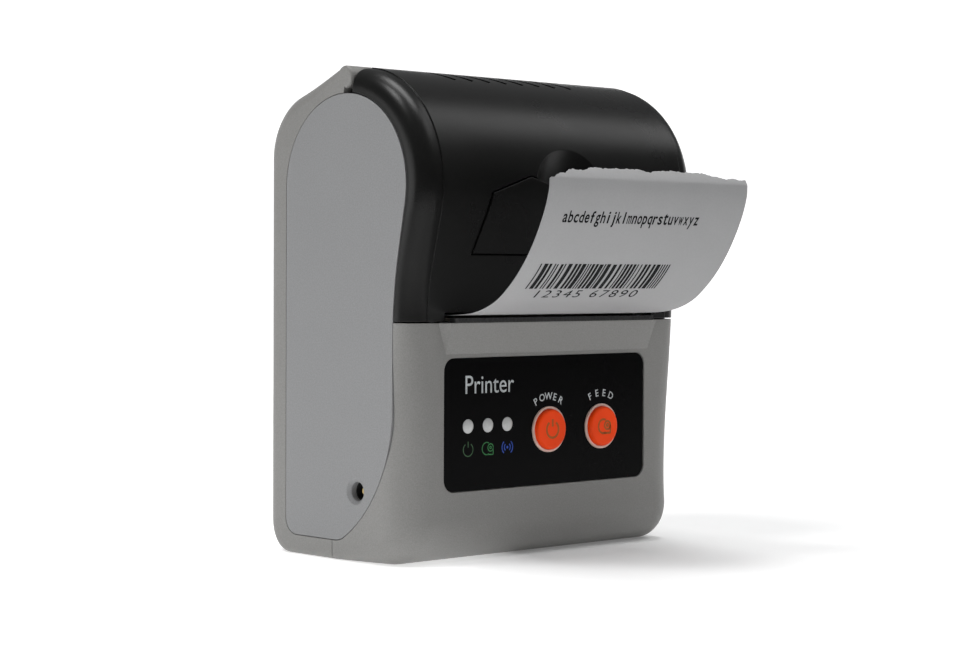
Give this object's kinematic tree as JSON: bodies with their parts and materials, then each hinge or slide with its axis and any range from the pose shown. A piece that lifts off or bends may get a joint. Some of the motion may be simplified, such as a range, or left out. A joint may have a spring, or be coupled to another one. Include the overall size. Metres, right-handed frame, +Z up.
{
  "type": "portable thermal label printer",
  "caption": "Hand-held thermal label printer: silver clamshell case, black flip-up lid, keypad with two round keys, and a printed paper strip feeding out.",
  "frame": {"origin": "on the flat underside, midway between the side panels, straight below the lid's hinge", "axes": "+X to the right seen from the keypad side, +Y to the rear, +Z up"},
  "size_m": [0.0812, 0.074, 0.1021],
  "materials": {
    "case_silver": "silver-gray moulded plastic, fine texture",
    "panel_silver": "silver-gray moulded plastic, fine texture",
    "lid_black": "black moulded plastic, satin",
    "black_plastic": "black moulded plastic",
    "overlay_black": "black printed membrane",
    "bezel_pale": "pale moulded ring",
    "button_orange": "orange-red moulded plastic",
    "led_white": "milky lens",
    "switch_black": "black plastic",
    "thermal_paper": "smooth thermal paper",
    "core_card": "wound card",
    "platen_rubber": "ground black rubber",
    "pin_steel": "ground steel",
    "screw_steel": "zinc-plated steel",
    "spring_steel": "spring wire",
    "frame_steel": "plated sheet steel",
    "motor_can": "drawn steel can",
    "shield_steel": "tinned shield",
    "heatsink_aluminium": "milled aluminium",
    "head_ceramic": "glazed alumina",
    "ribbon_film": "amber film cable",
    "board_green": "green solder mask",
    "chip_black": "epoxy package",
    "socket_cream": "cream nylon",
    "contact_brass": "bare brass",
    "lead_red": "insulated wire",
    "battery_wrap": "blue shrink wrap",
    "gear_white": "natural acetal"
  },
  "bodies": {
    "chassis": {"front_cover": "case_silver", "rear_cover": "case_silver", "left_side_panel": "panel_silver", "right_side_panel": "panel_silver", "case_screws": "screw_steel", "hinge_pin": "pin_steel", "print_frame": "frame_steel", "stepper_motor": "motor_can", "head_heatsink": "heatsink_aluminium", "thermal_head": "head_ceramic", "head_springs": "spring_steel", "paper_sensor": "black_plastic", "head_cable": "ribbon_film", "paper_bin": "black_plastic", "paper_web": "thermal_paper", "tear_bar": "black_plastic", "keypad_overlay": "overlay_black", "button_bezels": "bezel_pale", "tact_switches": "switch_black", "indicator_leds": "led_white", "main_board": "board_green", "board_screws": "screw_steel", "board_components": "chip_black", "wireless_module": "shield_steel", "cable_socket": "socket_cream", "dc_jack": "black_plastic", "jack_pin": "contact_brass", "jack_leads": "lead_red", "battery_pack": "battery_wrap", "battery_socket": "socket_cream", "battery_contacts": "contact_brass", "idler_axle": "pin_steel"},
    "paper_cover": {"cover_shell": "lid_black", "latch_pin": "pin_steel", "cover_frame": "black_plastic", "platen_bushes": "gear_white", "paper_strip": "thermal_paper"},
    "cover_latch": {"cover_latch": "lid_black"},
    "platen": {"platen_rubber": "platen_rubber", "platen_shaft": "pin_steel", "platen_gear": "gear_white"},
    "idler_gear": {"idler_gear": "gear_white"},
    "motor_rotor": {"motor_pinion": "contact_brass", "motor_shaft": "pin_steel"},
    "paper_roll": {"paper_roll": "thermal_paper", "roll_core": "core_card"},
    "power_button": {"power_button": "button_orange", "power_plunger": "switch_black"},
    "feed_button": {"feed_button": "button_orange", "feed_plunger": "switch_black"},
    "battery_door": {"battery_door": "case_silver"}
  },
  "joints": [
    {"name": "cover_hinge", "type": "hinge", "parent": "chassis", "child": "paper_cover", "pos_m": [0, 0, 0.0997], "axis": [-1, 0, 0], "range_deg": [0, 105]},
    {"name": "latch_tilt", "type": "hinge", "parent": "paper_cover", "child": "cover_latch", "pos_m": [0, -0.02189, 0.0645], "axis": [1, 0, 0], "range_deg": [0, 12], "stiffness_Nm_per_rad": 0.03, "springref_deg": -8.59},
    {"name": "platen_spin", "type": "hinge", "parent": "paper_cover", "child": "platen", "pos_m": [0, -0.0125, 0.055], "axis": [1, 0, 0], "continuous": true},
    {"name": "roll_spin", "type": "hinge", "parent": "chassis", "child": "paper_roll", "pos_m": [0, -0.0002, 0.0766], "axis": [1, 0, 0], "continuous": true},
    {"name": "idler_spin", "type": "hinge", "parent": "chassis", "child": "idler_gear", "pos_m": [0, -0.0048, 0.05284], "axis": [1, 0, 0], "continuous": true},
    {"name": "motor_spin", "type": "hinge", "parent": "chassis", "child": "motor_rotor", "pos_m": [0, 0.00163, 0.04518], "axis": [1, 0, 0], "continuous": true},
    {"name": "power_press", "type": "slide", "parent": "chassis", "child": "power_button", "axis": [0, 1, 0], "range_m": [0, 0.0005], "stiffness_N_per_m": 1500, "springref_m": -0.0002},
    {"name": "feed_press", "type": "slide", "parent": "chassis", "child": "feed_button", "axis": [0, 1, 0], "range_m": [0, 0.0005], "stiffness_N_per_m": 1500, "springref_m": -0.0002},
    {"name": "battery_door_pull", "type": "slide", "parent": "chassis", "child": "battery_door", "axis": [0, 1, 0], "range_m": [0, 0.03]}
  ],
  "couplings": [
    {"joint": "platen_spin", "follows": "roll_spin", "ratio": 4.5},
    {"joint": "idler_spin", "follows": "roll_spin", "ratio": -6.75},
    {"joint": "motor_spin", "follows": "roll_spin", "ratio": 17.357}
  ]
}
